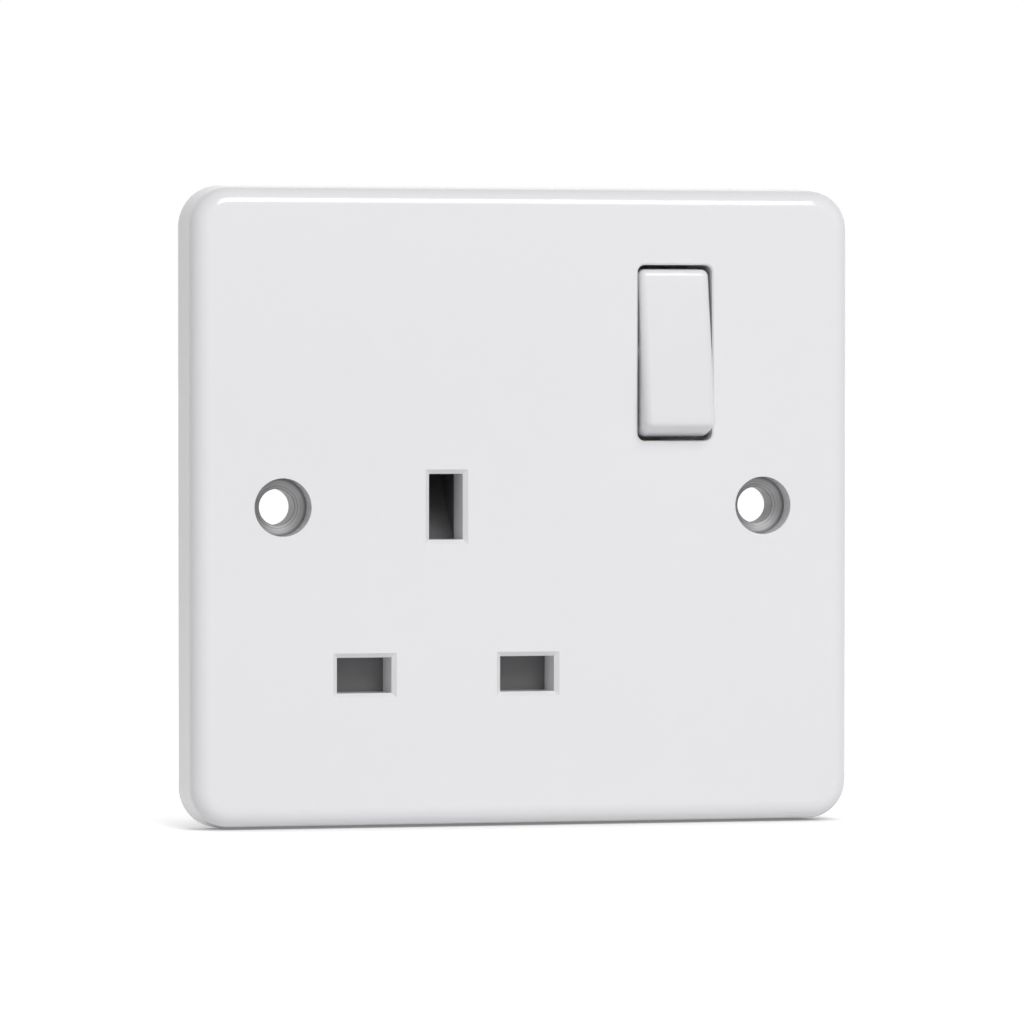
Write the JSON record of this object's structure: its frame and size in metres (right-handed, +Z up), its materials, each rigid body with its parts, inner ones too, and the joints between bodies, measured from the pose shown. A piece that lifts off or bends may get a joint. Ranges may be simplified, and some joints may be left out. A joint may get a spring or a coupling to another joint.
{
  "type": "switched socket outlet",
  "caption": "Square wall plate with three shuttered plug-pin slots, a rocker switch, two eyeleted fixing holes and rear wiring terminals.",
  "frame": {"origin": "midway between the two fixing holes, in the wall plane at the back of the plate's rim", "axes": "+X right and +Z up as seen from the front, +Y into the wall"},
  "size_m": [0.0908, 0.0343, 0.085],
  "materials": {
    "plate_plastic": "moulded white urea, smooth gloss",
    "rocker_plastic": "moulded white, smooth gloss",
    "cover_plastic": "moulded off-white, satin",
    "shutter_plastic": "moulded grey, satin",
    "plunger_plastic": "moulded natural, satin",
    "eyelet_metal": "plated, satin",
    "spring_steel": "bright",
    "screw_steel": "zinc plated",
    "contact_brass": "rolled strip",
    "terminal_brass": "machined",
    "contact_silver": "silver alloy"
  },
  "bodies": {
    "housing": {"faceplate": "plate_plastic", "rear_cover": "cover_plastic", "fixing_eyelet_left": "eyelet_metal", "fixing_eyelet_right": "eyelet_metal", "earth_strap": "contact_brass", "earth_contact": "contact_brass", "earth_contact_clip": "spring_steel", "earth_terminal": "terminal_brass", "neutral_contact": "contact_brass", "neutral_contact_clip": "spring_steel", "neutral_terminal": "terminal_brass", "live_contact": "contact_brass", "live_contact_clip": "spring_steel", "fixed_contact_tip": "contact_silver", "live_saddle": "contact_brass", "live_terminal": "terminal_brass", "assembly_screws": "screw_steel", "shutter_spring": "spring_steel"},
    "rocker_body": {"rocker": "rocker_plastic", "plunger_spring": "spring_steel"},
    "plunger_body": {"rocker_plunger": "plunger_plastic"},
    "contact_arm": {"moving_contact": "contact_brass", "moving_contact_tip": "contact_silver"},
    "shutter_body": {"shutter": "shutter_plastic"},
    "live_screw": {"live_terminal_screw": "screw_steel"},
    "neutral_screw": {"neutral_terminal_screw": "screw_steel"},
    "earth_screw_left": {"earth_terminal_screw_left": "screw_steel"},
    "earth_screw_right": {"earth_terminal_screw_right": "screw_steel"}
  },
  "joints": [
    {"name": "rocker_tilt", "type": "hinge", "parent": "housing", "child": "rocker_body", "pos_m": [0.0207, -0.005, 0.0204], "axis": [1, 0, 0], "range_deg": [0, 20]},
    {"name": "plunger_slide", "type": "slide", "parent": "rocker_body", "child": "plunger_body", "axis": [0, -0.9848, 0.1736], "range_m": [0, 0.0008], "stiffness_N_per_m": 200, "springref_m": -0.002, "deforming": ["plunger_spring"]},
    {"name": "contact_tilt", "type": "hinge", "parent": "housing", "child": "contact_arm", "pos_m": [0.0207, 0.0089, 0.0204], "axis": [1, 0, 0], "range_deg": [-15, 0]},
    {"name": "shutter_slide", "type": "slide", "parent": "housing", "child": "shutter_body", "axis": [0, 0, -1], "range_m": [0, 0.0084], "stiffness_N_per_m": 100, "springref_m": -0.006, "deforming": ["shutter_spring"]},
    {"name": "live_screw_drive", "type": "slide", "parent": "housing", "child": "live_screw", "axis": [0, -1, 0], "range_m": [0, 0.0026]},
    {"name": "neutral_screw_drive", "type": "slide", "parent": "housing", "child": "neutral_screw", "axis": [0, -1, 0], "range_m": [0, 0.0026]},
    {"name": "earth_screw_left_drive", "type": "slide", "parent": "housing", "child": "earth_screw_left", "axis": [0, -1, 0], "range_m": [0, 0.0026]},
    {"name": "earth_screw_right_drive", "type": "slide", "parent": "housing", "child": "earth_screw_right", "axis": [0, -1, 0], "range_m": [0, 0.0026]}
  ],
  "couplings": [
    {"joint": "contact_tilt", "follows": "rocker_tilt", "ratio": -0.75}
  ]
}
